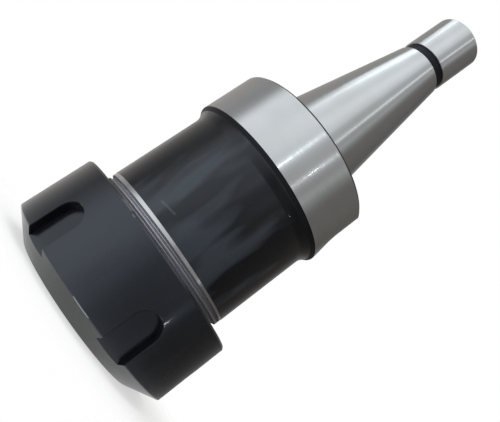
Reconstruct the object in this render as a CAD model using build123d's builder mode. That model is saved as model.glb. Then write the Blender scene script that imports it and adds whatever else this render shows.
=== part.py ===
from build123d import *
import math
import os

# Collet chuck holder: steep-taper shank, flange with drive slots, barrel, clamping nut and spring collet.
# All sizes are in millimetres. The chuck stands on the front face of its nut: the origin is the centre of
# that face, and +Z runs up the axis, from the nut to the drawbar end of the shank.

# Steep-taper shank, size 30
gauge_diameter = 31.75
taper_per_length = 7 / 24
taper_length = 48.4
pilot_diameter = 17.4
pilot_length = 17.0
pilot_chamfer = 1.0
shank_groove_width = 3.0
shank_groove_depth = 0.45
projection = 78.8
gauge_gap = 1.6

# Drawbar thread M12 in the end of the shank, cut to its core diameter
drawbar_core_diameter = 10.1
drawbar_thread_length = 26.0
centre_mouth_step = 1.25
centre_angle = 60
through_bore_step = 0.55

# Flange, which stands one step above the barrel, and its two drive slots
flange_step = 2.0
flange_length = 19.3
flange_rear_chamfer = 0.8
shoulder_length = 2.2
drive_slot_width = 16.1
drive_slot_end_land = 0.5
drive_slot_floor_step = 0.325
drive_slot_count = 2
slot_edge_break = 0.3

# Barrel and the thread cut on it, M50 by 1.5, one wall outside the mouth of the collet seat
nose_wall = 5.0
barrel_chamfer = 0.6
thread_pitch = 1.5
bare_thread_length = 3.8
nose_chamfer = 1.0

# Collet seat in the barrel, and the bore behind it
seat_angle = 8
seat_mouth_step = 0.5
seat_overrun = 1.6
tool_bore_step = 1.73
tool_bore_length = 10.0
drill_point_angle = 118

# Spring collet, its clamping bore and its slits
collet_diameter = 41.0
collet_length = 46.0
collet_bore_diameter = 20.0
collet_bore_chamfer = 0.8
collet_rear_chamfer = 0.6
collet_lip_step = 0.9
collet_lip_land = 0.8
collet_face_step = 3.0
collet_groove_depth = 2.0
collet_groove_width = 3.0
slit_width = 1.0
slit_count = 8
slit_rear_wall = 7.0
slit_front_wall = 11.5

# Clamping nut
nut_wall = 6.5
nut_height = 25.5
nut_chamfer_width = 8.1
nut_chamfer_angle = 30
nut_rear_chamfer = 0.6
nut_cone_angle = 30
nut_mouth_break = 0.5
thread_relief_length = 2.4
thread_relief_depth = 0.4
thread_mouth_chamfer = 0.9
notch_count = 6
notch_width = 8.5
notch_length = 16.9
notch_depth = 2.5
notch_edge_break = 0.3
ring_offset = 1.4

# Depth of an outer metric thread as a share of its pitch
thread_depth_per_pitch = 0.6134

# Clearances between the pieces
collet_recess = 0.4
seat_clearance = 0.08
cone_clearance = 0.08
lip_clearance = 0.4
ring_play = 0.4
ring_hole_clearance = 0.6
cavity_clearance = 2.0
thread_clearance = 0.05
cavity_to_nose = 2.5
cutter_overrun = 1.0

# Two places closer than this are the same place
same_place = 0.01

# Heights along the axis, measured up from the face of the nut
gauge_z = projection
taper_end_z = gauge_z + taper_length
groove_end_z = taper_end_z + shank_groove_width
shank_end_z = groove_end_z + pilot_length
flange_rear_z = gauge_z - gauge_gap
flange_front_z = flange_rear_z - flange_length
barrel_front_z = nut_height + bare_thread_length

# Front of the collet: its face, lip, groove and the widest point of its long taper
seat_slope = math.tan(math.radians(seat_angle))
cone_slope = math.tan(math.radians(nut_cone_angle))
collet_radius = collet_diameter / 2
collet_bore_radius = collet_bore_diameter / 2
collet_lip_radius = collet_radius - collet_lip_step
collet_face_radius = collet_lip_radius - collet_face_step
collet_groove_radius = collet_lip_radius - collet_groove_depth
collet_face_z = collet_recess
lip_start_z = collet_face_z + collet_face_step / cone_slope
lip_end_z = lip_start_z + collet_lip_land
groove_top_z = lip_end_z + collet_groove_width
collet_rear_z = collet_face_z + collet_length
collet_rear_radius = collet_radius - (collet_rear_z - groove_top_z) * seat_slope

# Collet seat: the nose of the barrel lies where the seat has narrowed to its mouth
seat_mouth_radius = collet_radius - seat_mouth_step
nose_z = groove_top_z + (seat_mouth_step + seat_clearance) / seat_slope
seat_end_z = collet_rear_z + seat_overrun
seat_end_radius = seat_mouth_radius - (seat_end_z - nose_z) * seat_slope
tool_bore_radius = seat_end_radius - tool_bore_step
tool_bore_end_z = seat_end_z + tool_bore_length

# Outer radii of the holder
barrel_radius = seat_mouth_radius + nose_wall
thread_core_radius = barrel_radius - thread_depth_per_pitch * thread_pitch
flange_radius = barrel_radius + flange_step
gauge_radius = gauge_diameter / 2
taper_end_radius = gauge_radius - taper_length * taper_per_length / 2
pilot_radius = pilot_diameter / 2
shank_groove_radius = pilot_radius - shank_groove_depth
shoulder_end_z = flange_front_z + shoulder_length
drive_slot_length = flange_rear_z - shoulder_end_z - drive_slot_end_land
drive_slot_floor = gauge_radius + drive_slot_floor_step

# Drawbar thread, its centre, and the bore that joins it to the tool bore
drawbar_core_radius = drawbar_core_diameter / 2
drawbar_end_z = shank_end_z - drawbar_thread_length
centre_mouth_radius = drawbar_core_radius + centre_mouth_step
centre_depth = centre_mouth_step / math.tan(math.radians(centre_angle / 2))
through_bore_radius = drawbar_core_radius - through_bore_step
drill_point_slope = math.tan(math.radians(drill_point_angle / 2))
drill_point_z = tool_bore_end_z + (tool_bore_radius - through_bore_radius) / drill_point_slope


def edges_on_side(piece, radius, low_z, high_z):
    """Edges that a cut leaves on a round side: their middle lies at the radius, between two heights."""
    return piece.edges().filter_by(
        lambda edge: abs(math.hypot((edge @ 0.5).X, (edge @ 0.5).Y) - radius) < same_place
        and low_z + same_place < (edge @ 0.5).Z < high_z + same_place
        and edge.geom_type != GeomType.CIRCLE
    )


# Holder: outer form from the nose, past the sloping shoulder, to the drawbar end, then back down the bores
with BuildPart() as holder_body:
    with BuildSketch(Plane.XZ):
        with BuildLine():
            Polyline(
                (seat_mouth_radius, nose_z),
                (thread_core_radius - nose_chamfer, nose_z),
                (thread_core_radius, nose_z + nose_chamfer),
                (thread_core_radius, barrel_front_z),
                (barrel_radius - barrel_chamfer, barrel_front_z),
                (barrel_radius, barrel_front_z + barrel_chamfer),
                (barrel_radius, flange_front_z),
                (flange_radius, shoulder_end_z),
                (flange_radius, flange_rear_z - flange_rear_chamfer),
                (flange_radius - flange_rear_chamfer, flange_rear_z),
                (gauge_radius, flange_rear_z),
                (gauge_radius, gauge_z),
                (taper_end_radius, taper_end_z),
                (shank_groove_radius, taper_end_z),
                (shank_groove_radius, groove_end_z),
                (pilot_radius, groove_end_z),
                (pilot_radius, shank_end_z - pilot_chamfer),
                (pilot_radius - pilot_chamfer, shank_end_z),
                (centre_mouth_radius, shank_end_z),
                (drawbar_core_radius, shank_end_z - centre_depth),
                (drawbar_core_radius, drawbar_end_z),
                (through_bore_radius, drawbar_end_z - through_bore_step),
                (through_bore_radius, drill_point_z),
                (tool_bore_radius, tool_bore_end_z),
                (tool_bore_radius, seat_end_z),
                (seat_end_radius, seat_end_z),
                close=True,
            )
        make_face()
    revolve(axis=Axis.Z)

    # Drive slots, open at the rear face of the flange and round at their closed end
    for slot in range(drive_slot_count):
        outward = Vector(1, 0, 0).rotate(Axis.Z, slot * 360 / drive_slot_count)
        floor = Plane(
            origin=outward * drive_slot_floor + Vector(0, 0, flange_rear_z), x_dir=(0, 0, 1), z_dir=outward
        )
        with BuildSketch(floor):
            SlotOverall(2 * drive_slot_length, drive_slot_width)
        extrude(amount=flange_radius - drive_slot_floor + cutter_overrun, mode=Mode.SUBTRACT)
    slot_edges = edges_on_side(
        holder_body, flange_radius, flange_rear_z - drive_slot_length, flange_rear_z - flange_rear_chamfer
    )
    chamfer(slot_edges, length=slot_edge_break)

# Collet: short front cone and lip, extraction groove, then the long taper that the seat closes on
with BuildPart() as collet:
    with BuildSketch(Plane.XZ):
        with BuildLine():
            Polyline(
                (collet_bore_radius + collet_bore_chamfer, collet_face_z),
                (collet_face_radius, collet_face_z),
                (collet_lip_radius, lip_start_z),
                (collet_lip_radius, lip_end_z),
                (collet_groove_radius, lip_end_z),
                (collet_groove_radius, groove_top_z),
                (collet_radius, groove_top_z),
                (collet_rear_radius + collet_rear_chamfer * seat_slope, collet_rear_z - collet_rear_chamfer),
                (collet_rear_radius - collet_rear_chamfer, collet_rear_z),
                (collet_bore_radius, collet_rear_z),
                (collet_bore_radius, collet_face_z + collet_bore_chamfer),
                close=True,
            )
        make_face()
    revolve(axis=Axis.Z)

    # Slits from the front stop short of the rear end, and slits from the rear stop behind the groove
    with BuildSketch(Plane.XY.offset(collet_face_z)):
        with PolarLocations(collet_radius / 2, slit_count):
            Rectangle(collet_radius + cutter_overrun, slit_width)
    extrude(amount=collet_length - slit_rear_wall, mode=Mode.SUBTRACT)
    with BuildSketch(Plane.XY.offset(collet_rear_z)):
        with PolarLocations(collet_radius / 2, slit_count, start_angle=180 / slit_count):
            Rectangle(collet_radius + cutter_overrun, slit_width)
    extrude(amount=slit_front_wall - collet_length, mode=Mode.SUBTRACT)

# Nut: outer form round the thread, inner form round the collet and the nose that it closes on
nut_radius = barrel_radius + nut_wall
nut_face_radius = nut_radius - nut_chamfer_width
nut_chamfer_height = nut_chamfer_width * math.tan(math.radians(nut_chamfer_angle))
cone_mouth_radius = collet_face_radius - collet_face_z * cone_slope + cone_clearance
land_radius = collet_lip_radius + lip_clearance
land_start_z = (land_radius - cone_mouth_radius) / cone_slope
ring_front_z = lip_end_z + ring_play
ring_rear_z = groove_top_z - ring_play
ring_hole_radius = collet_lip_radius + ring_hole_clearance
ring_blank_radius = ring_hole_radius - ring_offset - cutter_overrun
cavity_radius = collet_radius + cavity_clearance
cavity_end_z = nose_z - cavity_to_nose
thread_bore_radius = barrel_radius + thread_clearance
relief_radius = thread_bore_radius + thread_relief_depth

# Clamping nut: outer form, thread bore, cavity round the nose, extraction ring and front cone
with BuildPart() as clamping_nut:
    with BuildSketch(Plane.XZ):
        with BuildLine():
            Polyline(
                (cone_mouth_radius + nut_mouth_break, 0),
                (nut_face_radius, 0),
                (nut_radius, nut_chamfer_height),
                (nut_radius, nut_height - nut_rear_chamfer),
                (nut_radius - nut_rear_chamfer, nut_height),
                (thread_bore_radius + thread_mouth_chamfer, nut_height),
                (thread_bore_radius, nut_height - thread_mouth_chamfer),
                (thread_bore_radius, cavity_end_z + thread_relief_length),
                (relief_radius, cavity_end_z + thread_relief_length),
                (relief_radius, cavity_end_z),
                (cavity_radius, cavity_end_z),
                (cavity_radius, ring_rear_z),
                (ring_blank_radius, ring_rear_z),
                (ring_blank_radius, ring_front_z),
                (land_radius, ring_front_z),
                (land_radius, land_start_z),
                (cone_mouth_radius + nut_mouth_break * cone_slope, nut_mouth_break),
                close=True,
            )
        make_face()
    revolve(axis=Axis.Z)

    # The hole of the extraction ring lies off the axis, so one side of the ring enters the collet's groove
    with BuildSketch(Plane.XY.offset(ring_front_z)):
        with Locations((0, ring_offset)):
            Circle(ring_hole_radius)
    extrude(amount=ring_rear_z - ring_front_z, mode=Mode.SUBTRACT)

    # Wrench notches, open at the face and round at their closed end
    for notch in range(notch_count):
        outward = Vector(1, 0, 0).rotate(Axis.Z, notch * 360 / notch_count)
        floor = Plane(origin=outward * (nut_radius - notch_depth), x_dir=(0, 0, 1), z_dir=outward)
        with BuildSketch(floor):
            SlotOverall(2 * notch_length, notch_width)
        extrude(amount=notch_depth + cutter_overrun, mode=Mode.SUBTRACT)
    notch_edges = edges_on_side(clamping_nut, nut_radius, nut_chamfer_height, notch_length)
    chamfer(notch_edges, length=notch_edge_break)

os.makedirs("parts", exist_ok=True)

holder_body.part.label = "holder_body"
export_step(holder_body.part, "parts/holder_body.step")

collet.part.label = "collet"
export_step(collet.part, "parts/collet.step")

clamping_nut.part.label = "clamping_nut"
export_step(clamping_nut.part, "parts/clamping_nut.step")
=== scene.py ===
import logging
import math
from abc import ABC, abstractmethod
from dataclasses import dataclass, field
from enum import Enum
from typing import Callable, ClassVar, Iterable, Sequence

import bmesh
import bpy
from bmesh.types import BMesh, BMFace, BMVert
from bpy.types import Material, Node, NodeSocket, NodeTree, Object
from mathutils import Matrix, Vector


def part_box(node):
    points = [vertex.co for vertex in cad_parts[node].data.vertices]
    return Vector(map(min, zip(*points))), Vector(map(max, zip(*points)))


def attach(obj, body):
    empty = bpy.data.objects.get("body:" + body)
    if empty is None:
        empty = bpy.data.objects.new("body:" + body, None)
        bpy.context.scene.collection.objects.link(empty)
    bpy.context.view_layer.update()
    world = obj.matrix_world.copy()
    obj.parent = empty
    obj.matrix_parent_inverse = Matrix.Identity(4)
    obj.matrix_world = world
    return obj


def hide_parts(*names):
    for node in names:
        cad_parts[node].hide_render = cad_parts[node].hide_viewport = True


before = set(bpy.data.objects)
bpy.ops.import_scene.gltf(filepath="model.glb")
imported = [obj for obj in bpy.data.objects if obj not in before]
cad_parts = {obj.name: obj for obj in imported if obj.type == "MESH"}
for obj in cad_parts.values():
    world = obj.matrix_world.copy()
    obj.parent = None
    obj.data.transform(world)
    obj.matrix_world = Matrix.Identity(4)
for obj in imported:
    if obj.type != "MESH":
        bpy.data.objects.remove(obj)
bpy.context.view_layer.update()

# Sizes of the chuck are in millimetres, with heights above the face of its nut, until a finished mesh is
# scaled to the metres of the frame.
MM = 0.001
# Facets round a full turn of a turned surface.
TURN_STEPS = 288
# Facets across a rounded corner of an outline, and the profile that lays them on an arc.
ROUNDING_STEPS = 5
ARC_PROFILE = 0.5
# Edges sharper than this stay crisp when the faces either side of them are shaded smooth.
CRISP_ANGLE = math.radians(38)
# Doubles closer than this, in millimetres, are one point.
SAME_POINT = 1e-4
# Octaves of noise in fine marks, and in stains and painted reflection streaks that run softly together.
FINE_OCTAVES = 3.0
SOFT_OCTAVES = 2.0
# Noise keeps mostly between these two of its values, so a Map Range node spreads them out.
NOISE_RANGE = {"From Min": 0.3, "From Max": 0.7}
WHITE = "#ffffff"

log = logging.getLogger("collet_chuck")


class Finish(Enum):
    """The surface finishes that the pieces carry."""

    GROUND = "ground"
    OXIDE = "oxide"
    DULL_OXIDE = "dull oxide"
    FACED_OXIDE = "faced oxide"
    THREAD = "thread"
    TURNED = "turned"


@dataclass(frozen=True)
class Corner:
    """One corner of a turned outline: its radius, its height on the axis and how far it is rounded."""

    radius: float
    height: float
    rounding: float = 0.0


def linear(hex_colour: str) -> tuple[float, float, float, float]:
    """Turns an sRGB hex colour to the linear colour that a shader takes.

    Args:
        hex_colour: Six hex digits after a hash sign.

    Returns:
        Red, green, blue and an alpha of 1.
    """
    parts = [int(hex_colour[i : i + 2], 16) / 255 for i in (1, 3, 5)]
    # The sRGB curve is a straight line near black and a power above it.
    red, green, blue = (c / 12.92 if c <= 0.04045 else ((c + 0.055) / 1.055) ** 2.4 for c in parts)
    return red, green, blue, 1.0


def add_node(
    tree: NodeTree, kind: str, inputs: dict[str | int, object] | None = None, **settings: object
) -> Node:
    """Adds a node with its settings and links.

    Args:
        tree: The node tree that gets the node.
        kind: Blender's name of the node's type.
        inputs: What each input takes: a socket is linked, and anything else is set as its value.
        settings: Attributes of the node itself.

    Returns:
        The new node.
    """
    node = tree.nodes.new(kind)
    for name, value in settings.items():
        setattr(node, name, value)
    for key, value in (inputs or {}).items():
        if isinstance(value, NodeSocket):
            tree.links.new(value, node.inputs[key])
        else:
            node.inputs[key].default_value = value
    return node


def new_material(name: str) -> tuple[Material, Node]:
    """Makes a material that holds only its surface shader.

    Args:
        name: The material's name.

    Returns:
        The material and its Principled shader.
    """
    material = bpy.data.materials.new(name)
    material.use_nodes = True
    material.node_tree.nodes.clear()
    shader = add_node(material.node_tree, "ShaderNodeBsdfPrincipled")
    add_node(material.node_tree, "ShaderNodeOutputMaterial", {"Surface": shader.outputs["BSDF"]})
    return material, shader


def blotches(tree: NodeTree, size: float, octaves: float) -> NodeSocket:
    """Even noise on the piece, for stain and wear.

    Args:
        tree: The node tree that gets the nodes.
        size: Size of a blotch in millimetres.
        octaves: Octaves of finer noise.

    Returns:
        The socket that gives the noise, from 0 to 1.
    """
    place = add_node(tree, "ShaderNodeTexCoord").outputs["Object"]
    scale = 1 / (size * MM)
    noise = add_node(tree, "ShaderNodeTexNoise", {"Vector": place, "Scale": scale, "Detail": octaves})
    return noise.outputs["Fac"]


def across_marks(tree: NodeTree) -> NodeSocket:
    """The direction on the surface that lies across marks which run round the axis.

    Args:
        tree: The node tree that gets the nodes.

    Returns:
        The socket with that direction, for a shader's tangent.
    """
    place = add_node(tree, "ShaderNodeTexCoord").outputs["Object"]
    round_axis = add_node(
        tree, "ShaderNodeVectorMath", {0: (0.0, 0.0, 1.0), 1: place}, operation="CROSS_PRODUCT"
    ).outputs["Vector"]
    in_world = add_node(
        tree,
        "ShaderNodeVectorTransform",
        {"Vector": round_axis},
        vector_type="VECTOR",
        convert_from="OBJECT",
        convert_to="WORLD",
    ).outputs["Vector"]
    normal = add_node(tree, "ShaderNodeNewGeometry").outputs["True Normal"]
    across = add_node(tree, "ShaderNodeVectorMath", {0: normal, 1: in_world}, operation="CROSS_PRODUCT")
    return across.outputs["Vector"]


def near_line(tree: NodeTree, start: Vector, end: Vector, width: float) -> NodeSocket:
    """Marks the places near a short straight line through the piece.

    Args:
        tree: The node tree that gets the nodes.
        start: One end of the line, in metres.
        end: Its other end.
        width: Distance from the line at which the mark has faded out, in metres.

    Returns:
        The socket that is 1 on the line and 0 away from it.
    """
    place = add_node(tree, "ShaderNodeTexCoord").outputs["Object"]
    run = end - start
    share_of_run = tuple(run / run.length_squared)
    offset = add_node(
        tree, "ShaderNodeVectorMath", {0: place, 1: tuple(start)}, operation="SUBTRACT"
    ).outputs["Vector"]
    along = add_node(
        tree, "ShaderNodeVectorMath", {0: offset, 1: share_of_run}, operation="DOT_PRODUCT"
    ).outputs["Value"]
    inside = add_node(tree, "ShaderNodeClamp", {"Value": along}).outputs["Result"]
    nearest = add_node(
        tree, "ShaderNodeVectorMath", {0: tuple(run), "Scale": inside}, operation="SCALE"
    ).outputs["Vector"]
    gap = add_node(
        tree, "ShaderNodeVectorMath", {0: offset, 1: nearest}, operation="DISTANCE"
    ).outputs["Value"]
    fade = {"Value": gap, "From Min": 0.0, "From Max": width, "To Min": 1.0, "To Max": 0.0}
    return add_node(tree, "ShaderNodeMapRange", fade).outputs["Result"]


@dataclass(frozen=True)
class Rub:
    """A short bright rub on a round side, with its ends round the axis in degrees and along it."""

    azimuths: tuple[float, float]
    heights: tuple[float, float]
    radius: float
    width: float
    strength: float

    def mask(self, tree: NodeTree) -> NodeSocket:
        """How strongly the rub shows at each place.

        Args:
            tree: The node tree that gets the nodes.

        Returns:
            The socket with the rub's strength on it and 0 away from it.
        """
        start, end = (
            Vector((math.cos(math.radians(turn)), math.sin(math.radians(turn)), 0.0)) * self.radius * MM
            + Vector((0.0, 0.0, height * MM))
            for turn, height in zip(self.azimuths, self.heights)
        )
        line = near_line(tree, start, end, self.width * MM)
        return add_node(tree, "ShaderNodeMath", {0: line, 1: self.strength}, operation="MULTIPLY").outputs[0]


@dataclass(frozen=True)
class SteelSurface:
    """What the steel finishes share: fine marks round the axis, the sheen they draw out, and a coat of oil.

    Lengths are in millimetres, and roughness is given for the smoothest and the roughest places.
    """

    name: str
    roughness: tuple[float, float]
    sheen_along_axis: float
    mark_length: float
    mark_pitch: float
    mark_depth: float
    mark_strength: float
    oil: float = 0.0
    oil_roughness: float = 0.05

    def marks(self, tree: NodeTree) -> NodeSocket:
        """Noise drawn out round the axis, as a grinding wheel or a turning tool leaves it.

        Args:
            tree: The node tree that gets the nodes.

        Returns:
            The socket that gives the noise, from 0 to 1.
        """
        place = add_node(tree, "ShaderNodeTexCoord").outputs["Object"]
        across, along = 1 / (self.mark_length * MM), 1 / (self.mark_pitch * MM)
        drawn = add_node(tree, "ShaderNodeMapping", {"Vector": place, "Scale": (across, across, along)})
        noise = {"Vector": drawn.outputs["Vector"], "Scale": 1.0, "Detail": FINE_OCTAVES}
        return add_node(tree, "ShaderNodeTexNoise", noise).outputs["Fac"]

    def dress(
        self,
        material: Material,
        colour: NodeSocket,
        uneven: NodeSocket,
        marks: NodeSocket,
    ) -> None:
        """Gives the surface shader its colour, its roughness, its sheen, its oil and its marks.

        Args:
            material: The material.
            colour: The colour.
            uneven: Noise that spreads the roughness.
            marks: Noise that the marks rise and fall with.
        """
        tree = material.node_tree
        shader = tree.nodes["Principled BSDF"]
        smooth, rough = self.roughness
        spread = NOISE_RANGE | {"Value": uneven, "To Min": smooth, "To Max": rough}
        roughness = add_node(tree, "ShaderNodeMapRange", spread).outputs["Result"]
        relief = {"Height": marks, "Strength": self.mark_strength, "Distance": self.mark_depth * MM}
        shader.inputs["Anisotropic"].default_value = self.sheen_along_axis
        shader.inputs["Coat Weight"].default_value = self.oil
        shader.inputs["Coat Roughness"].default_value = self.oil_roughness
        tree.links.new(colour, shader.inputs["Base Color"])
        tree.links.new(roughness, shader.inputs["Roughness"])
        tree.links.new(across_marks(tree), shader.inputs["Tangent"])
        tree.links.new(add_node(tree, "ShaderNodeBump", relief).outputs["Normal"], shader.inputs["Normal"])


@dataclass(frozen=True)
class GroundSteel(SteelSurface):
    """Alloy steel ground between centres: bright, with a long soft sheen and a thin coat of oil."""

    name: str = "ground_alloy_steel"
    colour: str = "#cdd0d2"
    stain: str = "#bfc0be"
    stain_share: float = 0.6
    stain_size: float = 14.0
    roughness: tuple[float, float] = (0.22, 0.27)
    sheen_along_axis: float = 0.7
    oil: float = 0.5
    mark_length: float = 60.0
    mark_pitch: float = 0.45
    mark_depth: float = 0.0006
    mark_strength: float = 0.6

    def build(self) -> Material:
        """Makes the material.

        Returns:
            The material.
        """
        material, shader = new_material(self.name)
        tree = material.node_tree
        marks = self.marks(tree)
        stain = {"Value": blotches(tree, self.stain_size, SOFT_OCTAVES), "To Max": self.stain_share}
        stained = add_node(tree, "ShaderNodeMapRange", NOISE_RANGE | stain).outputs["Result"]
        tint = {"Factor": stained, "A": linear(self.colour), "B": linear(self.stain)}
        colour = add_node(tree, "ShaderNodeMix", tint, data_type="RGBA").outputs[2]
        shader.inputs["Metallic"].default_value = 1.0
        self.dress(material, colour, marks, marks)
        return material


@dataclass(frozen=True)
class BlackOxide(SteelSurface):
    """Hot black oxide on turned steel, oiled: a near-black satin skin with a cool, soft reflection.

    Long pale streaks that lean a little are painted reflections in its colour, and a few places are rubbed
    bright.
    """

    name: str = "black_oxide_on_steel"
    colour: str = "#050506"
    worn: str = "#0c0d0f"
    patch_size: float = 9.0
    # Pale streaks painted into the colour, long and leaning a little, are painted reflections.
    painted_streak_colour: str = "#2b3036"
    painted_streak_amount: float = 0.0
    painted_streak_range: tuple[float, float] = (0.47, 0.6)
    painted_streak_across: float = 7.5
    painted_streak_length: float = 38.0
    painted_streak_tilt: float = 7.0
    painted_streak_turn: float = 0.0
    bare: str = "#b4b6b8"
    reflection: str = "#dfeaff"
    roughness: tuple[float, float] = (0.24, 0.3)
    ior: float = 1.68
    sheen_along_axis: float = 0.4
    oil: float = 0.25
    oil_roughness: float = 0.06
    mark_length: float = 50.0
    mark_pitch: float = 0.6
    mark_depth: float = 0.0003
    mark_strength: float = 0.5
    rubs: tuple[Rub, ...] = ()

    def painted_streaks(self, tree: NodeTree) -> NodeSocket:
        """How strongly the painted reflection streaks show at each place.

        Args:
            tree: The node tree that gets the nodes.

        Returns:
            The socket with the painted streaks' share of the colour.
        """
        streak = {
            "Vector": add_node(tree, "ShaderNodeTexCoord").outputs["Object"],
            "Rotation": (0.0, math.radians(self.painted_streak_tilt), math.radians(self.painted_streak_turn)),
            "Scale": (self.painted_streak_across * MM, self.painted_streak_across * MM, self.painted_streak_length * MM),
        }
        drawn = add_node(tree, "ShaderNodeMapping", streak, vector_type="TEXTURE").outputs["Vector"]
        noise = add_node(tree, "ShaderNodeTexNoise", {"Vector": drawn, "Scale": 1.0, "Detail": SOFT_OCTAVES})
        thin, thick = self.painted_streak_range
        share = {"Value": noise.outputs["Fac"], "From Min": thin, "From Max": thick}
        share["To Max"] = self.painted_streak_amount
        return add_node(tree, "ShaderNodeMapRange", share).outputs["Result"]

    def skin(self, tree: NodeTree, patches: NodeSocket) -> NodeSocket:
        """Colour of the black skin with the painted reflection streaks laid over it.

        Args:
            tree: The node tree that gets the nodes.
            patches: Noise that tells where the skin is worn.

        Returns:
            The socket with the colour.
        """
        worn = add_node(tree, "ShaderNodeMapRange", NOISE_RANGE | {"Value": patches}).outputs["Result"]
        tint = {"Factor": worn, "A": linear(self.colour), "B": linear(self.worn)}
        under = add_node(tree, "ShaderNodeMix", tint, data_type="RGBA").outputs[2]
        # Pale streaks painted into the colour stand in for streaky reflections.
        streaked = {"Factor": self.painted_streaks(tree), "A": under, "B": linear(self.painted_streak_colour)}
        return add_node(tree, "ShaderNodeMix", streaked, data_type="RGBA").outputs[2]

    def rubbed(self, tree: NodeTree) -> NodeSocket:
        """Where the skin is rubbed off.

        Args:
            tree: The node tree that gets the nodes.

        Returns:
            The socket that is 0 on whole skin and 1 on bare steel.
        """
        most, *others = [rub.mask(tree) for rub in self.rubs]
        for mask in others:
            most = add_node(tree, "ShaderNodeMath", {0: most, 1: mask}, operation="MAXIMUM").outputs[0]
        return most

    def build(self) -> Material:
        """Makes the material.

        Returns:
            The material.
        """
        material, shader = new_material(self.name)
        tree = material.node_tree
        patches = blotches(tree, self.patch_size, FINE_OCTAVES)
        colour = self.skin(tree, patches)
        if self.rubs:
            rubbed = self.rubbed(tree)
            mixed = {"Factor": rubbed, "A": colour, "B": linear(self.bare)}
            colour = add_node(tree, "ShaderNodeMix", mixed, data_type="RGBA").outputs[2]
            tree.links.new(rubbed, shader.inputs["Metallic"])
        shader.inputs["IOR"].default_value = self.ior
        shader.inputs["Specular Tint"].default_value = linear(self.reflection)
        self.dress(material, colour, patches, self.marks(tree))
        return material


@dataclass(frozen=True)
class TurnedSteel(SteelSurface):
    """Turned steel left bare, as on a fresh thread or in a bore: rougher and greyer than ground steel.

    Its tool marks run round the axis.
    """

    name: str = "turned_bare_steel"
    colour: str = "#b5b5bb"
    dull: str = "#77777c"
    dull_share: float = 0.9
    roughness: tuple[float, float] = (0.28, 0.42)
    sheen_along_axis: float = 0.5
    mark_length: float = 30.0
    mark_pitch: float = 0.3
    mark_depth: float = 0.002
    mark_strength: float = 0.6

    def build(self) -> Material:
        """Makes the material.

        Returns:
            The material.
        """
        material, shader = new_material(self.name)
        tree = material.node_tree
        marks = self.marks(tree)
        dulled = NOISE_RANGE | {"Value": marks, "To Max": self.dull_share}
        share = add_node(tree, "ShaderNodeMapRange", dulled).outputs["Result"]
        tint = {"Factor": share, "A": linear(self.colour), "B": linear(self.dull)}
        colour = add_node(tree, "ShaderNodeMix", tint, data_type="RGBA").outputs[2]
        shader.inputs["Metallic"].default_value = 1.0
        self.dress(material, colour, marks, marks)
        return material


def turned(outline: Sequence[Corner]) -> BMesh:
    """Turns a closed outline about the axis.

    Args:
        outline: Corners of the half section, in order round it.

    Returns:
        A closed mesh in millimetres.
    """
    mesh = bmesh.new()
    points = [mesh.verts.new((corner.radius, 0.0, corner.height)) for corner in outline]
    for start, end in zip(points, points[1:] + points[:1]):
        mesh.edges.new((start, end))
    for corner, point in zip(outline, points):
        if corner.rounding:
            bmesh.ops.bevel(
                mesh,
                geom=[point],
                offset=corner.rounding,
                offset_type="OFFSET",
                segments=ROUNDING_STEPS,
                profile=ARC_PROFILE,
                affect="VERTICES",
                material=-1,
            )
    bmesh.ops.spin(
        mesh,
        geom=mesh.verts[:] + mesh.edges[:],
        cent=(0, 0, 0),
        axis=(0, 0, 1),
        dvec=(0, 0, 0),
        angle=math.tau,
        steps=TURN_STEPS,
        use_merge=True,
        use_duplicate=False,
    )
    close_up(mesh)
    return mesh


def close_up(mesh: BMesh) -> None:
    """Merges the doubles of a mesh, then turns its faces outwards.

    Args:
        mesh: The mesh, in millimetres.
    """
    bmesh.ops.remove_doubles(mesh, verts=mesh.verts, dist=SAME_POINT)
    bmesh.ops.recalc_face_normals(mesh, faces=mesh.faces)


def as_object(mesh: BMesh, name: str, scale: float = 1.0) -> Object:
    """Makes an object of a mesh and frees the mesh.

    Args:
        mesh: The mesh.
        name: The object's name.
        scale: Factor on every size.

    Returns:
        The object, in the scene, at the origin.
    """
    data = bpy.data.meshes.new(name)
    mesh.to_mesh(data)
    mesh.free()
    data.transform(Matrix.Scale(scale, 4))
    made = bpy.data.objects.new(name, data)
    bpy.context.scene.collection.objects.link(made)
    return made


def cut(piece: BMesh, cutters: Iterable[BMesh]) -> BMesh:
    """Cuts closed forms out of a mesh.

    Args:
        piece: The mesh to cut, which is freed.
        cutters: The forms that are taken away, which are freed.

    Returns:
        The mesh that is left.
    """
    body = as_object(piece, "uncut")
    tools = [as_object(cutter, "cutter") for cutter in cutters]
    for tool in tools:
        step = body.modifiers.new("cut", "BOOLEAN")
        step.operation = "DIFFERENCE"
        step.solver = "EXACT"
        step.object = tool
    bpy.context.view_layer.update()
    result = bmesh.new()
    shown = body.evaluated_get(bpy.context.evaluated_depsgraph_get())
    result.from_mesh(shown.to_mesh())
    shown.to_mesh_clear()
    for used in (body, *tools):
        data = used.data
        bpy.data.objects.remove(used)
        bpy.data.meshes.remove(data)
    return result


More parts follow.
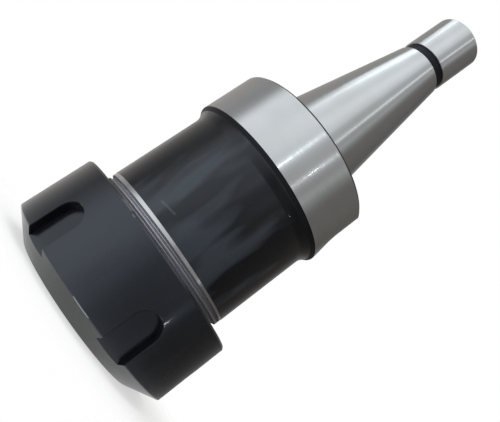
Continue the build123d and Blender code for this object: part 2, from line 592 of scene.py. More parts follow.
@dataclass(frozen=True)
class MilledSlot:
    """A slot milled into a round side along the axis: one end is round, the other runs out of the piece."""

    side_radius: float
    floor: float
    width: float
    round_end: float
    open_end: float
    edge_break: float
    end_steps: int = 64
    overrun: float = 1.0

    @property
    def towards_round_end(self) -> float:
        """1 where the round end is the upper one, and -1 where it is the lower one."""
        return math.copysign(1.0, self.round_end - self.open_end)

    @property
    def centre(self) -> float:
        """Height of the centre of the round end."""
        return self.round_end - self.towards_round_end * self.width / 2

    def cutter(self, azimuth: float) -> BMesh:
        """Makes the form that cuts the slot, with a flared rim that breaks its upper edge.

        Args:
            azimuth: Where the slot lies round the axis, in degrees.

        Returns:
            The closed cutter, in millimetres.
        """
        mesh = bmesh.new()
        bmesh.ops.create_circle(mesh, cap_ends=True, radius=self.width / 2, segments=self.end_steps)
        for point in mesh.verts:
            across, along = point.co.x, point.co.y
            if along < -SAME_POINT:
                height = self.open_end - self.towards_round_end * self.overrun
            else:
                height = self.centre + self.towards_round_end * along
            point.co = (self.floor, across, height)
        floor = mesh.faces[:][0]
        rim = self._raise(mesh, floor, -self.edge_break, 0.0)
        self._raise(mesh, rim, self.overrun, self.edge_break + self.overrun)
        bmesh.ops.delete(mesh, geom=[rim], context="FACES_ONLY")
        close_up(mesh)
        bmesh.ops.rotate(
            mesh, cent=(0, 0, 0), matrix=Matrix.Rotation(math.radians(azimuth), 3, "Z"), verts=mesh.verts
        )
        return mesh

    def _side(self, across: float) -> float:
        """How far from the axis plane the round side lies at a distance across the slot."""
        return math.sqrt(max(self.side_radius**2 - across**2, 0.0))

    def _raise(
        self, mesh: BMesh, top: BMFace, beyond: float, spread: float
    ) -> BMFace:
        """Extrudes the top face of the cutter outwards.

        Args:
            mesh: The cutter so far.
            top: The face to extrude, which stays in the mesh.
            beyond: How far beyond the round side the new face lies, in millimetres.
            spread: How far it spreads, in millimetres.

        Returns:
            The new top face.
        """
        grown = bmesh.ops.extrude_face_region(mesh, geom=[top])["geom"]
        up = self.towards_round_end
        for point in (item for item in grown if isinstance(item, BMVert)):
            past_centre = max(up * (point.co.z - self.centre), 0.0) * up
            outwards = Vector((0.0, point.co.y, past_centre)).normalized() * spread
            level = self._side(point.co.y) + beyond
            point.co = Vector((level, point.co.y, point.co.z)) + outwards
        return next(item for item in grown if isinstance(item, BMFace))


class Piece(ABC):
    """A piece of the chuck: a turned blank with forms cut out of it, which stands for its CAD node.

    A piece has its own name, the CAD body it rides on and the CAD node it replaces; it also names a material
    slot, which the build does not use.
    """

    name: ClassVar[str]
    body: ClassVar[str]
    node: ClassVar[str]
    slot: ClassVar[str]

    @abstractmethod
    def outline(self) -> list[Corner]:
        """The half section of the blank."""

    @abstractmethod
    def cutters(self) -> list[BMesh]:
        """The forms that are cut out of the blank."""

    @abstractmethod
    def finish_at(self, radius: float, height: float) -> Finish:
        """The finish at a distance from the axis and a height."""

    def build(self, finishes: dict[Finish, Material]) -> Object:
        """Makes the piece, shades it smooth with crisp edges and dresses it.

        Args:
            finishes: The material of each finish.

        Returns:
            The finished piece, in the frame.
        """
        mesh = cut(turned(self.outline()), self.cutters())
        order = list(finishes)
        for face in mesh.faces:
            middle = face.calc_center_median()
            face.material_index = order.index(self.finish_at(math.hypot(middle.x, middle.y), middle.z))
            face.smooth = True
        piece = as_object(mesh, self.name, MM)
        for finish in order:
            piece.data.materials.append(finishes[finish])
        piece.data.set_sharp_from_angle(angle=CRISP_ANGLE)
        even = piece.modifiers.new("even_shading", "WEIGHTED_NORMAL")
        even.keep_sharp = True
        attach(piece, self.body)
        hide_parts(self.node)
        low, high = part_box(self.node)
        size = [round(value / MM, 2) for value in piece.dimensions]
        cad_size = [round(value / MM, 2) for value in high - low]
        log.info("%s: %d faces, %s mm, CAD %s mm", piece.name, len(piece.data.polygons), size, cad_size)
        return piece


@dataclass
class ClampingNut(Piece):
    """The nut: six wrench notches, a front cone for the collet and an eccentric extraction ring.

    The ring's hole is cut from a blank that stands further in.
    """

    name = "notched_clamping_nut"
    body = "nut"
    node = "clamping_nut"
    slot = "black_oxide_steel"

    radius: float = 31.5
    height: float = 25.5
    face_radius: float = 23.4
    chamfer_angle: float = 30.0
    rear_chamfer: float = 0.6
    cone_mouth_radius: float = 16.449
    cone_angle: float = 30.0
    mouth_break: float = 0.5
    land_radius: float = 20.0
    ring_front: float = 6.796
    ring_rear: float = 8.996
    ring_hole_radius: float = 20.2
    ring_offset: float = 1.4
    ring_blank: float = 1.0
    cut_overrun: float = 0.1
    cavity_radius: float = 22.5
    cavity_end: float = 11.023
    relief_length: float = 2.4
    relief_depth: float = 0.4
    bore_radius: float = 25.05
    bore_chamfer: float = 0.9
    edge_rounding: float = 0.25
    notch_count: int = 6
    notch_width: float = 8.5
    notch_end: float = 16.9
    notch_depth: float = 2.5
    notch_edge_break: float = 0.18
    notch_margin: float = 0.07
    notch_floor_margin: float = 0.4

    @property
    def rim_height(self) -> float:
        """Height at which the front chamfer meets the side."""
        return (self.radius - self.face_radius) * math.tan(math.radians(self.chamfer_angle))

    def outline(self) -> list[Corner]:
        """The half section without the notches and the hole of the ring."""
        slope = math.tan(math.radians(self.cone_angle))
        land_start = (self.land_radius - self.cone_mouth_radius) / slope
        blank = self.ring_hole_radius - self.ring_offset - self.ring_blank
        soft = self.edge_rounding
        return [
            Corner(self.cone_mouth_radius + self.mouth_break, 0.0),
            Corner(self.face_radius, 0.0, soft),
            Corner(self.radius, self.rim_height, soft),
            Corner(self.radius, self.height - self.rear_chamfer, soft / 2),
            Corner(self.radius - self.rear_chamfer, self.height, soft / 2),
            Corner(self.bore_radius + self.bore_chamfer, self.height),
            Corner(self.bore_radius, self.height - self.bore_chamfer),
            Corner(self.bore_radius, self.cavity_end + self.relief_length),
            Corner(self.bore_radius + self.relief_depth, self.cavity_end + self.relief_length),
            Corner(self.bore_radius + self.relief_depth, self.cavity_end),
            Corner(self.cavity_radius, self.cavity_end),
            Corner(self.cavity_radius, self.ring_rear),
            Corner(blank, self.ring_rear),
            Corner(blank, self.ring_front),
            Corner(self.land_radius, self.ring_front),
            Corner(self.land_radius, land_start),
            Corner(self.cone_mouth_radius + self.mouth_break * slope, self.mouth_break),
        ]

    def cutters(self) -> list[BMesh]:
        """The wrench notches and the hole of the extraction ring, which lies off the axis."""
        notch = MilledSlot(
            side_radius=self.radius,
            floor=self.radius - self.notch_depth,
            width=self.notch_width,
            round_end=self.notch_end,
            open_end=0.0,
            edge_break=self.notch_edge_break,
        )
        made = [notch.cutter(index * 360 / self.notch_count) for index in range(self.notch_count)]
        hole = bmesh.new()
        middle = (self.ring_front + self.ring_rear) / 2
        bmesh.ops.create_cone(
            hole,
            cap_ends=True,
            segments=TURN_STEPS,
            radius1=self.ring_hole_radius,
            radius2=self.ring_hole_radius,
            depth=self.ring_rear - self.ring_front + 2 * self.cut_overrun,
            matrix=Matrix.Translation((0.0, self.ring_offset, middle)),
        )
        return [*made, hole]

    def rubs(self) -> tuple[Rub, ...]:
        """Where the nut's edges are rubbed bright."""
        on_chamfer = self.height - self.rear_chamfer / 2
        below_chamfer = self.height - self.rear_chamfer
        mid_chamfer = self.radius - self.rear_chamfer / 2
        return (
            Rub((-110.5, -104.0), (on_chamfer, on_chamfer), mid_chamfer, width=0.35, strength=0.45),
            Rub((-101.8, -100.6), (below_chamfer, below_chamfer), self.radius, width=0.35, strength=0.35),
            Rub((-87.8, -77.7), (self.rim_height, self.rim_height), self.radius, width=0.22, strength=1.0),
            Rub((-56.6, -55.8), (16.7, 16.4), self.radius, width=0.3, strength=0.8),
        )

    def finish_at(self, radius: float, height: float) -> Finish:
        """The nut is blackened all over: drier on its front, and dull on the walls of its notches.

        Args:
            radius: Distance from the axis, in millimetres.
            height: Height above the face of the nut, in millimetres.

        Returns:
            The finish at that place.
        """
        if radius > self.land_radius and height < self.rim_height - self.notch_margin:
            return Finish.FACED_OXIDE
        front = self.face_radius + height / math.tan(math.radians(self.chamfer_angle))
        under_side = radius < min(front, self.radius) - self.notch_margin
        above_floor = radius > self.radius - self.notch_depth + self.notch_floor_margin
        return Finish.DULL_OXIDE if under_side and above_floor and height < self.notch_end else Finish.OXIDE


@dataclass
class SpringCollet(Piece):
    """The collet: a sleeve slit from both ends in turn, so that it closes evenly."""

    name = "slit_spring_collet"
    body = "collet"
    node = "collet"
    slot = "spring_steel"

    front: float = 0.4
    length: float = 46.0
    bore_radius: float = 10.0
    bore_chamfer: float = 0.8
    face_radius: float = 16.6
    lip_radius: float = 19.6
    lip_start: float = 5.596
    lip_land: float = 0.8
    groove_radius: float = 17.6
    groove_width: float = 3.0
    widest_radius: float = 20.5
    taper_angle: float = 8.0
    rear_chamfer: float = 0.6
    edge_rounding: float = 0.12
    slit_width: float = 1.0
    slit_count: int = 8
    slit_rear_wall: float = 7.0
    slit_front_wall: float = 11.5
    cut_overrun: float = 1.0

    def outline(self) -> list[Corner]:
        """The half section without the slits."""
        rear = self.front + self.length
        lip_end = self.lip_start + self.lip_land
        groove_top = lip_end + self.groove_width
        slope = math.tan(math.radians(self.taper_angle))
        rear_radius = self.widest_radius - (rear - groove_top) * slope
        soft = self.edge_rounding
        return [
            Corner(self.bore_radius + self.bore_chamfer, self.front),
            Corner(self.face_radius, self.front, soft),
            Corner(self.lip_radius, self.lip_start, soft),
            Corner(self.lip_radius, lip_end, soft),
            Corner(self.groove_radius, lip_end),
            Corner(self.groove_radius, groove_top),
            Corner(self.widest_radius, groove_top, soft),
            Corner(rear_radius + self.rear_chamfer * slope, rear - self.rear_chamfer, soft),
            Corner(rear_radius - self.rear_chamfer, rear, soft),
            Corner(self.bore_radius, rear),
            Corner(self.bore_radius, self.front + self.bore_chamfer),
        ]

    def cutters(self) -> list[BMesh]:
        """One blade for each pair of slits that lie opposite each other."""
        pairs = self.slit_count // 2
        over = self.cut_overrun
        rear = self.front + self.length
        ends = {
            0.0: (self.front - over, rear - self.slit_rear_wall),
            180 / self.slit_count: (self.front + self.slit_front_wall, rear + over),
        }
        made = []
        for turn, (low, high) in ends.items():
            for index in range(pairs):
                blade = bmesh.new()
                bmesh.ops.create_cube(blade, size=1.0)
                size = (2 * (self.widest_radius + over), self.slit_width, high - low)
                bmesh.ops.scale(blade, vec=size, verts=blade.verts)
                bmesh.ops.translate(blade, vec=(0.0, 0.0, (low + high) / 2), verts=blade.verts)
                facing = Matrix.Rotation(math.radians(turn + index * 180 / pairs), 3, "Z")
                bmesh.ops.rotate(blade, cent=(0, 0, 0), matrix=facing, verts=blade.verts)
                made.append(blade)
        return made

    def finish_at(self, radius: float, height: float) -> Finish:
        """The whole collet is ground."""
        return Finish.GROUND


@dataclass
class ThreadForm:
    """The clamping thread M50 by 1.5, cut as a right-hand helix; its steps are those of one turn."""

    crest_radius: float = 24.9
    root_radius: float = 24.06
    pitch: float = 1.5
    root_flat: float = 0.2
    flank_angle: float = 30.0
    start: float = 13.15
    end: float = 28.15
    steps: int = 96
    outside: float = 0.2

    def cutter(self) -> BMesh:
        """Makes the groove: a truncated vee, swept along the helix.

        Returns:
            The closed cutter, in millimetres.
        """
        turns = (self.end - self.start) / self.pitch
        count = round(turns * self.steps)
        outer = self.crest_radius + self.outside
        spread = (outer - self.root_radius) * math.tan(math.radians(self.flank_angle))
        mesh = bmesh.new()
        section = [
            mesh.verts.new((self.root_radius, 0.0, self.start - self.root_flat / 2)),
            mesh.verts.new((self.root_radius, 0.0, self.start + self.root_flat / 2)),
            mesh.verts.new((outer, 0.0, self.start + self.root_flat / 2 + spread)),
            mesh.verts.new((outer, 0.0, self.start - self.root_flat / 2 - spread)),
        ]
        face = mesh.faces.new(section)
        bmesh.ops.spin(
            mesh,
            geom=[face, *face.edges, *face.verts],
            cent=(0, 0, 0),
            axis=(0, 0, 1),
            dvec=(0, 0, self.pitch / self.steps),
            angle=math.tau * count / self.steps,
            steps=count,
            use_merge=False,
            use_duplicate=False,
        )
        close_up(mesh)
        return mesh


@dataclass
class TaperHolder(Piece):
    """The holder: drawbar pilot, steep taper, slotted flange, blackened barrel and clamping thread.

    Faces of the shank within the ground skin are ground, and those deeper in are turned.
    """

    name = "steep_taper_holder"
    body = "holder"
    node = "holder_body"
    slot = "ground_and_blackened_steel"

    gauge_height: float = 78.8
    gauge_radius: float = 15.875
    taper_end: float = 127.2
    taper_end_radius: float = 8.8167
    groove_end: float = 130.2
    groove_radius: float = 8.25
    shank_end: float = 147.2
    pilot_radius: float = 8.7
    pilot_chamfer: float = 1.0
    flange_radius: float = 27.0
    flange_rear: float = 77.2
    flange_chamfer: float = 0.8
    shoulder_end: float = 60.1
    shoulder_start: float = 57.9
    shoulder_foot: float = 1.7
    shoulder_dull: float = 59.3
    barrel_radius: float = 25.0
    barrel_front: float = 29.3
    barrel_edge_break: float = 0.05
    nose: float = 13.523
    nose_chamfer: float = 1.0
    seat_mouth_radius: float = 20.0
    seat_end: float = 48.0
    seat_end_radius: float = 15.155
    tool_bore_radius: float = 13.425
    tool_bore_end: float = 58.0
    drill_point: float = 63.361
    through_radius: float = 4.5
    thread_hole_end: float = 121.2
    thread_hole_radius: float = 5.05
    centre_mouth_radius: float = 6.3
    centre_depth: float = 2.165
    slot_width: float = 16.1
    slot_end: float = 60.6
    slot_floor: float = 16.2
    slot_edge_break: float = 0.3
    edge_rounding: float = 0.2
    bright_strip: float = 28.6
    zone_margin: float = 0.05
    ground_skin: float = 1.5
    thread: ThreadForm = field(default_factory=ThreadForm)

    def outline(self) -> list[Corner]:
        """The half section without the thread groove and the drive slots."""
        soft = self.edge_rounding
        crest = self.thread.crest_radius
        step = self.thread_hole_radius - self.through_radius
        return [
            Corner(self.seat_mouth_radius, self.nose, soft),
            Corner(crest - self.nose_chamfer, self.nose, soft),
            Corner(crest, self.nose + self.nose_chamfer),
            Corner(crest, self.barrel_front),
            Corner(self.barrel_radius - self.barrel_edge_break, self.barrel_front),
            Corner(self.barrel_radius, self.barrel_front + self.barrel_edge_break),
            Corner(self.barrel_radius, self.shoulder_start, self.shoulder_foot),
            Corner(self.flange_radius, self.shoulder_end, soft),
            Corner(self.flange_radius, self.flange_rear - self.flange_chamfer, soft),
            Corner(self.flange_radius - self.flange_chamfer, self.flange_rear, soft),
            Corner(self.gauge_radius, self.flange_rear),
            Corner(self.gauge_radius, self.gauge_height),
            Corner(self.taper_end_radius, self.taper_end, soft),
            Corner(self.groove_radius, self.taper_end),
            Corner(self.groove_radius, self.groove_end),
            Corner(self.pilot_radius, self.groove_end, soft),
            Corner(self.pilot_radius, self.shank_end - self.pilot_chamfer, soft),
            Corner(self.pilot_radius - self.pilot_chamfer, self.shank_end, soft),
            Corner(self.centre_mouth_radius, self.shank_end),
            Corner(self.thread_hole_radius, self.shank_end - self.centre_depth),
            Corner(self.thread_hole_radius, self.thread_hole_end),
            Corner(self.through_radius, self.thread_hole_end - step),
            Corner(self.through_radius, self.drill_point),
            Corner(self.tool_bore_radius, self.tool_bore_end),
            Corner(self.tool_bore_radius, self.seat_end),
            Corner(self.seat_end_radius, self.seat_end),
        ]

    def cutters(self) -> list[BMesh]:
        """The two drive slots and the thread groove."""
        slot = MilledSlot(
            side_radius=self.flange_radius,
            floor=self.slot_floor,
            width=self.slot_width,
            round_end=self.slot_end,
            open_end=self.flange_rear,
            edge_break=self.slot_edge_break,
        )
        return [slot.cutter(0.0), slot.cutter(180.0), self.thread.cutter()]

    def rubs(self) -> tuple[Rub, ...]:
        """The faint scratch on the barrel, near the thread."""
        return (Rub((-105.6, -94.9), (32.7, 33.3), self.barrel_radius, width=0.4, strength=0.16),)

    def finish_at(self, radius: float, height: float) -> Finish:
        """Shank and flange are ground, the barrel is blackened, the thread and the bores are turned.

        Args:
            radius: Distance from the axis, in millimetres.
            height: Height above the face of the nut, in millimetres.

        Returns:
            The finish at that place.
        """
        slope = (self.gauge_radius - self.taper_end_radius) / (self.taper_end - self.gauge_height)
        near = self.zone_margin
        if height < self.barrel_front - near:
            if radius < self.thread.root_radius - near:
                return Finish.TURNED
            return Finish.THREAD if height < self.bright_strip else Finish.GROUND
        if height < self.shoulder_end + self.edge_rounding:
            if radius < self.barrel_radius - self.shoulder_foot:
                return Finish.TURNED
            return Finish.OXIDE if height < self.shoulder_dull else Finish.DULL_OXIDE
        if height < self.flange_rear + near:
            if radius > self.flange_radius - near:
                return Finish.GROUND
            if radius < self.gauge_radius - near:
                return Finish.TURNED
            return Finish.TURNED if height > self.flange_rear - near else Finish.DULL_OXIDE
        if self.taper_end + near < height < self.groove_end - near or (
            radius < self.taper_end_radius and abs(height - self.taper_end) < near
        ):
            return Finish.DULL_OXIDE if radius > self.thread_hole_radius + near else Finish.TURNED
        surface = max(self.gauge_radius - (height - self.gauge_height) * slope, self.pilot_radius)
        return Finish.GROUND if radius > surface - self.ground_skin else Finish.TURNED


@dataclass(frozen=True)
class PhotographCamera:
    """The camera at the photograph's place: level with the nut, near the axis, and tilted on its side.

    Lengths are in millimetres, angles in degrees, the clip distances in metres and the picture in pixels.
    """

    azimuth: float = -82.4
    distance: float = 155.5
    height: float = 17.8
    heading: float = 0.76
    pitch: float = 15.19
    roll: float = 54.9
    focal_pixels: float = 545.6
    centre_row: float = 180.0
    image_width: float = 500.0
    image_height: float = 422.0
    sensor_width: float = 36.0
    clip: tuple[float, float] = (0.01, 20.0)

    def build(self) -> Object:
        """Makes the camera and sets it as the scene's camera.

        Returns:
            The camera's object.
        """
        data = bpy.data.cameras.new("photograph_camera")
        data.sensor_fit = "HORIZONTAL"
        data.sensor_width = self.sensor_width
        data.lens = self.focal_pixels / self.image_width * self.sensor_width
        data.shift_y = (self.centre_row - self.image_height / 2) / self.image_width
        data.clip_start, data.clip_end = self.clip
        camera = bpy.data.objects.new("photograph_camera", data)
        bpy.context.scene.collection.objects.link(camera)
        turn = math.radians(self.azimuth)
        place = Vector((math.cos(turn) * self.distance, math.sin(turn) * self.distance, self.height)) * MM
        yaw = math.radians(90 + self.azimuth + self.heading)
        camera.matrix_world = (
            Matrix.Translation(place)
            @ Matrix.Rotation(yaw, 4, "Z")
            @ Matrix.Rotation(math.radians(90 + self.pitch), 4, "X")
            @ Matrix.Rotation(math.radians(self.roll), 4, "Z")
        )
        bpy.context.scene.camera = camera
        return camera


def seen_or_mirrored(tree: NodeTree) -> NodeSocket:
    """Picks out the rays that the camera sees, straight or in gloss or glass.

    Args:
        tree: The node tree that gets the nodes.

    Returns:
        The socket that is 1 for such a ray and 0 for light on a matt surface.
    """
    path = add_node(tree, "ShaderNodeLightPath").outputs
    in_gloss_or_glass = {0: path["Is Glossy Ray"], 1: path["Is Transmission Ray"]}
    mirrored = add_node(tree, "ShaderNodeMath", in_gloss_or_glass, operation="MAXIMUM").outputs[0]
    either = {0: path["Is Camera Ray"], 1: mirrored}
    return add_node(tree, "ShaderNodeMath", either, operation="MAXIMUM").outputs[0]


@dataclass(frozen=True)
class Side:
    """What the room shows at one angle from the camera's side: brightness low down and high up, and tint."""

    angle: float
    low: float
    high: float
    tint: str = WHITE


@dataclass(frozen=True)
class Lamp:
    """A soft rectangular lamp: its angle from the camera's side, its elevation, and what it is aimed at.

    The aim is a radius and a height in millimetres; the lamp's own size and its distance are in metres.
    """

    name: str
    angle: float
    elevation: float
    aim: tuple[float, float]
    size: tuple[float, float]
    radiance: float
    distance: float = 0.6
    tint: str = "#f4fbff"

    def build(self, camera_azimuth: float) -> Object:
        """Hangs the lamp.

        Args:
            camera_azimuth: Direction of the camera's side round the axis, in degrees.

        Returns:
            The lamp's object.
        """
        turn = math.radians(camera_azimuth - self.angle)
        rise = math.radians(self.elevation)
        away = Vector((math.cos(turn) * math.cos(rise), math.sin(turn) * math.cos(rise), math.sin(rise)))
        # A glint shows halfway between the camera's side and the lamp's.
        side = math.radians(camera_azimuth - self.angle / 2)
        aim_radius, aim_height = self.aim
        aim = Vector((math.cos(side) * aim_radius, math.sin(side) * aim_radius, aim_height)) * MM
        data = bpy.data.lights.new(self.name, "AREA")
        data.shape = "RECTANGLE"
        data.size, data.size_y = self.size
        data.energy = self.radiance * data.size * data.size_y * math.pi
        data.color = linear(self.tint)[:3]
        lamp = bpy.data.objects.new(self.name, data)
        bpy.context.scene.collection.objects.link(lamp)
        turned_to_aim = away.to_track_quat("Z", "Y").to_matrix().to_4x4()
        lamp.matrix_world = Matrix.Translation(aim + away * self.distance) @ turned_to_aim
        lamp.visible_camera = False
        return lamp


@dataclass(frozen=True)
class Studio:
    """Plain pale floor and soft light: a light tent with a bright side and a dim one, and five lamps.

    Lengths are in metres and angles in degrees. The tent's low and high brightness hold below and above the
    two sines of elevation in tent_rise, and it is open beyond those in tent_opening.
    """

    camera_azimuth: float = PhotographCamera.azimuth
    floor_radius: float = 0.3
    floor_steps: int = 96
    floor_fade: tuple[float, float] = (0.036, 0.08)
    floor_colour: str = "#e8e8e6"
    floor_lift: float = 0.58
    tent_radius: float = 3.0
    tent_steps: tuple[int, int] = (48, 24)
    tent_rise: tuple[float, float] = (0.05, 0.31)
    tent_opening: tuple[float, float] = (0.9, 0.98)
    overhead: float = 0.75
    # The tent by the angle from the camera's side, in degrees, seen from above.
    room: tuple[Side, ...] = (
        Side(-180.0, 0.4, 0.4),
        Side(-150.0, 0.2, 0.22),
        Side(-130.0, 0.13, 0.13, "#fff6ee"),
        Side(-100.0, 0.12, 0.18, "#fff6ee"),
        Side(-68.0, 0.13, 0.19, "#fffaf6"),
        Side(-56.0, 0.16, 0.34),
        Side(-50.0, 0.22, 0.56),
        Side(-40.0, 0.24, 0.36),
        Side(-30.0, 0.27, 0.5),
        Side(-18.0, 0.25, 0.52),
        Side(-8.0, 0.26, 0.6, "#fbfdff"),
        Side(0.0, 0.38, 0.85, "#f9fdff"),
        Side(9.0, 0.58, 0.96, "#f8fcfe"),
        Side(20.0, 0.7, 1.1, "#f8fcfe"),
        Side(32.0, 0.95, 1.1, "#f8fcfe"),
        Side(46.0, 1.12, 0.98, "#f8fcfe"),
        Side(60.0, 1.08, 1.02, "#f8fcfe"),
        Side(74.0, 0.95, 1.1, "#f8fcfe"),
        Side(88.0, 0.5, 0.36),
        Side(100.0, 0.28, 0.34),
        Side(112.0, 0.38, 0.37, "#fffdfa"),
        Side(130.0, 0.52, 0.38, "#fffaf4"),
        Side(150.0, 0.6, 0.4, "#fffaf4"),
        Side(180.0, 0.4, 0.4),
    )
    # A broad strip and a narrow one light the shank; the small lamps glint on the flange and the nut.
    lamps: tuple[Lamp, ...] = (
        Lamp("strip_lamp", angle=90.0, elevation=49.0, aim=(12.0, 105.0), size=(0.2, 0.22), radiance=1.5),
        Lamp("line_lamp", angle=-30.0, elevation=47.0, aim=(12.0, 105.0), size=(0.035, 0.24), radiance=1.3),
        Lamp("near_lamp", angle=1.6, elevation=19.2, aim=(27.0, 62.5), size=(0.012, 0.02), radiance=45.0),
        Lamp("side_lamp", angle=-27.4, elevation=21.2, aim=(27.0, 67.9), size=(0.008, 0.019), radiance=45.0),
        Lamp("low_lamp", angle=-58.2, elevation=-0.4, aim=(31.5, 16.8), size=(0.014, 0.009), radiance=60.0),
    )

    def ramp(
        self, tree: NodeTree, share: NodeSocket, brightness: Callable[[Side], float]
    ) -> NodeSocket:
        """Colour of the tent round the axis.

        Args:
            tree: The tent material's node tree.
            share: Angle from the camera's side, as a share of the full turn.
            brightness: Picks a side's brightness.

        Returns:
            The socket with the colour.
        """
        ramp = add_node(tree, "ShaderNodeValToRGB", {"Fac": share})
        stops = ramp.color_ramp.elements
        while len(stops) < len(self.room):
            # A new stop goes in halfway, and is moved to its side of the room below.
            stops.new(0.5)
        for stop, side in zip(stops, self.room):
            stop.position = (side.angle + 180) / 360
            stop.color = [part * brightness(side) for part in linear(side.tint)[:3]] + [1.0]
        return ramp.outputs["Color"]

    def tent_cloth(self) -> Material:
        """Makes the glowing cloth of the tent, which is open at the top and at the bottom.

        Returns:
            The material.
        """
        material = bpy.data.materials.new("glowing_tent_cloth")
        material.use_nodes = True
        tree = material.node_tree
        tree.nodes.clear()
        place = add_node(tree, "ShaderNodeTexCoord").outputs["Object"]
        direction = add_node(tree, "ShaderNodeVectorMath", {0: place}, operation="NORMALIZE").outputs[0]
        from_camera_side = (0.0, 0.0, math.radians(-self.camera_azimuth))
        facing = add_node(tree, "ShaderNodeMapping", {"Vector": direction, "Rotation": from_camera_side})
        parts = add_node(tree, "ShaderNodeSeparateXYZ", {"Vector": facing.outputs["Vector"]}).outputs
        level = {0: parts["Y"], 1: parts["X"]}
        angle = add_node(tree, "ShaderNodeMath", level, operation="ARCTAN2").outputs[0]
        full_turn = {"Value": angle, "From Min": math.pi, "From Max": -math.pi}
        share = add_node(tree, "ShaderNodeMapRange", full_turn).outputs["Result"]
        low, high = self.tent_rise
        climb = {"Value": parts["Z"], "From Min": low, "From Max": high}
        two_levels = {
            "Factor": add_node(tree, "ShaderNodeMapRange", climb).outputs["Result"],
            "A": self.ramp(tree, share, lambda side: side.low),
            "B": self.ramp(tree, share, lambda side: side.high),
        }
        colour = add_node(tree, "ShaderNodeMix", two_levels, data_type="RGBA").outputs[2]
        cloth = add_node(tree, "ShaderNodeEmission", {"Color": colour, "Strength": 1.0}).outputs[0]
        hole = add_node(tree, "ShaderNodeBsdfTransparent").outputs[0]
        steepness = add_node(tree, "ShaderNodeMath", {0: parts["Z"]}, operation="ABSOLUTE").outputs[0]
        closed, opened = self.tent_opening
        rim = {"Value": steepness, "From Min": closed, "From Max": opened}
        opening = add_node(tree, "ShaderNodeMapRange", rim).outputs["Result"]
        tent = add_node(tree, "ShaderNodeMixShader", {0: opening, 1: cloth, 2: hole})
        add_node(tree, "ShaderNodeOutputMaterial", {"Surface": tent.outputs[0]})
        return material

    def build_tent(self) -> Object:
        """Hangs the light tent round the object; the camera looks through it.

        Returns:
            The tent's object.
        """
        round_steps, rise_steps = self.tent_steps
        mesh = bmesh.new()
        bmesh.ops.create_uvsphere(
            mesh, u_segments=round_steps, v_segments=rise_steps, radius=self.tent_radius
        )
        made = as_object(mesh, "light_tent")
        made.data.materials.append(self.tent_cloth())
        made.visible_camera = False
        return made

    def build_world(self) -> None:
        """Shows a white backdrop to the camera and in gloss and glass, and gives soft light to the rest."""
        world = bpy.data.worlds.new("white_backdrop")
        bpy.context.scene.world = world
        world.use_nodes = True
        tree = world.node_tree
        tree.nodes.clear()
        dimmed = {"Color": linear(WHITE), "Strength": self.overhead}
        soft = add_node(tree, "ShaderNodeBackground", dimmed).outputs[0]
        white = add_node(tree, "ShaderNodeBackground", {"Color": linear(WHITE), "Strength": 1.0}).outputs[0]
        shown = add_node(tree, "ShaderNodeMixShader", {0: seen_or_mirrored(tree), 1: soft, 2: white})
        add_node(tree, "ShaderNodeOutputWorld", {"Surface": shown.outputs[0]})

    def floor_finish(self) -> Material:
        """Makes the floor's matt white, which keeps the object's shadow and fades out towards its rim.

        Returns:
            The material.
        """
        material = bpy.data.materials.new("matt_white_floor")
        material.use_nodes = True
        tree = material.node_tree
        tree.nodes.clear()
        # The glow lifts the matt colour to the backdrop's white.
        lifted = {0: seen_or_mirrored(tree), 1: self.floor_lift}
        lift = add_node(tree, "ShaderNodeMath", lifted, operation="MULTIPLY").outputs[0]
        matt = add_node(tree, "ShaderNodeBsdfDiffuse", {"Color": linear(self.floor_colour)}).outputs[0]
        glow = add_node(tree, "ShaderNodeEmission", {"Color": linear(WHITE), "Strength": lift}).outputs[0]
        lit = add_node(tree, "ShaderNodeAddShader", {0: matt, 1: glow}).outputs[0]
        place = add_node(tree, "ShaderNodeTexCoord").outputs["Object"]
        reach = add_node(tree, "ShaderNodeVectorMath", {0: place}, operation="LENGTH").outputs["Value"]
        whole, gone = self.floor_fade
        rim = {"Value": reach, "From Min": whole, "From Max": gone}
        fade = add_node(tree, "ShaderNodeMapRange", rim).outputs["Result"]
        hole = add_node(tree, "ShaderNodeBsdfTransparent").outputs[0]
        both = add_node(tree, "ShaderNodeMixShader", {0: fade, 1: lit, 2: hole})
        add_node(tree, "ShaderNodeOutputMaterial", {"Surface": both.outputs[0]})
        return material

    def build_floor(self) -> Object:
        """Lays the floor.

        Returns:
            The floor's object.
        """
        mesh = bmesh.new()
        bmesh.ops.create_circle(mesh, cap_ends=True, radius=self.floor_radius, segments=self.floor_steps)
        floor = as_object(mesh, "studio_floor")
        floor.data.materials.append(self.floor_finish())
        return floor

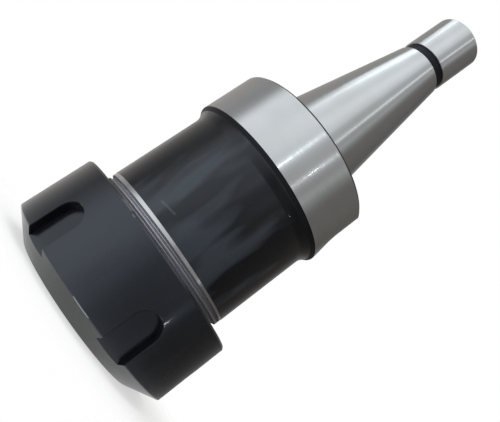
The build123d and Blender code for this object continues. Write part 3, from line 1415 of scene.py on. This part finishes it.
    def build(self) -> None:
        """Makes the world, the tent, the floor and the lamps, and sets how the picture is shown."""
        self.build_world()
        self.build_tent()
        self.build_floor()
        for lamp in self.lamps:
            lamp.build(self.camera_azimuth)
        bpy.context.scene.view_settings.view_transform = "Standard"


def main() -> None:
    """Builds the pieces in order, then the camera and the studio."""
    logging.basicConfig(level=logging.INFO, format="%(name)s: %(message)s")
    nut = ClampingNut()
    holder = TaperHolder()
    ground = GroundSteel().build()
    bare = TurnedSteel().build()
    # Light catches on every crest of the thread, so it looks paler and softer than a plain turned face.
    thread = TurnedSteel(
        name="cut_thread_steel",
        colour="#c8c8ce",
        dull="#9f9fa5",
        roughness=(0.5, 0.62),
        sheen_along_axis=0.0,
    ).build()
    # Faint pale streaks painted into the nut's colour are painted reflections.
    nut_oxide = BlackOxide(name="black_oxide_on_nut", painted_streak_amount=0.15, rubs=nut.rubs()).build()
    # The nut's front was faced dry: a little darker and greener than its side.
    faced_oxide = BlackOxide(
        name="black_oxide_on_nut_front", oil=0.1, ior=1.52, reflection="#e4eee8", rubs=nut.rubs()
    ).build()
    # The barrel was wiped with oil; the broad pale streaks in its colour are painted reflections.
    barrel_oxide = BlackOxide(
        name="oiled_black_oxide_on_barrel",
        oil=0.5,
        ior=1.38,
        painted_streak_colour="#3f464e",
        painted_streak_amount=0.85,
        painted_streak_turn=130.0,
        rubs=holder.rubs(),
    ).build()
    # Slots, groove and shoulder hold no oil and show nearly no sheen.
    dull_oxide = BlackOxide(
        name="dull_black_oxide", oil=0.0, ior=1.4, roughness=(0.4, 0.5), sheen_along_axis=0.0
    ).build()
    nut.build({Finish.OXIDE: nut_oxide, Finish.DULL_OXIDE: dull_oxide, Finish.FACED_OXIDE: faced_oxide})
    SpringCollet().build({Finish.GROUND: ground})
    holder.build(
        {
            Finish.GROUND: ground,
            Finish.OXIDE: barrel_oxide,
            Finish.DULL_OXIDE: dull_oxide,
            Finish.THREAD: thread,
            Finish.TURNED: bare,
        }
    )
    PhotographCamera().build()
    studio = Studio()
    studio.build()
    log.info("camera, tent, floor and %d lamps are in place", len(studio.lamps))


if __name__ == "__main__":
    main()
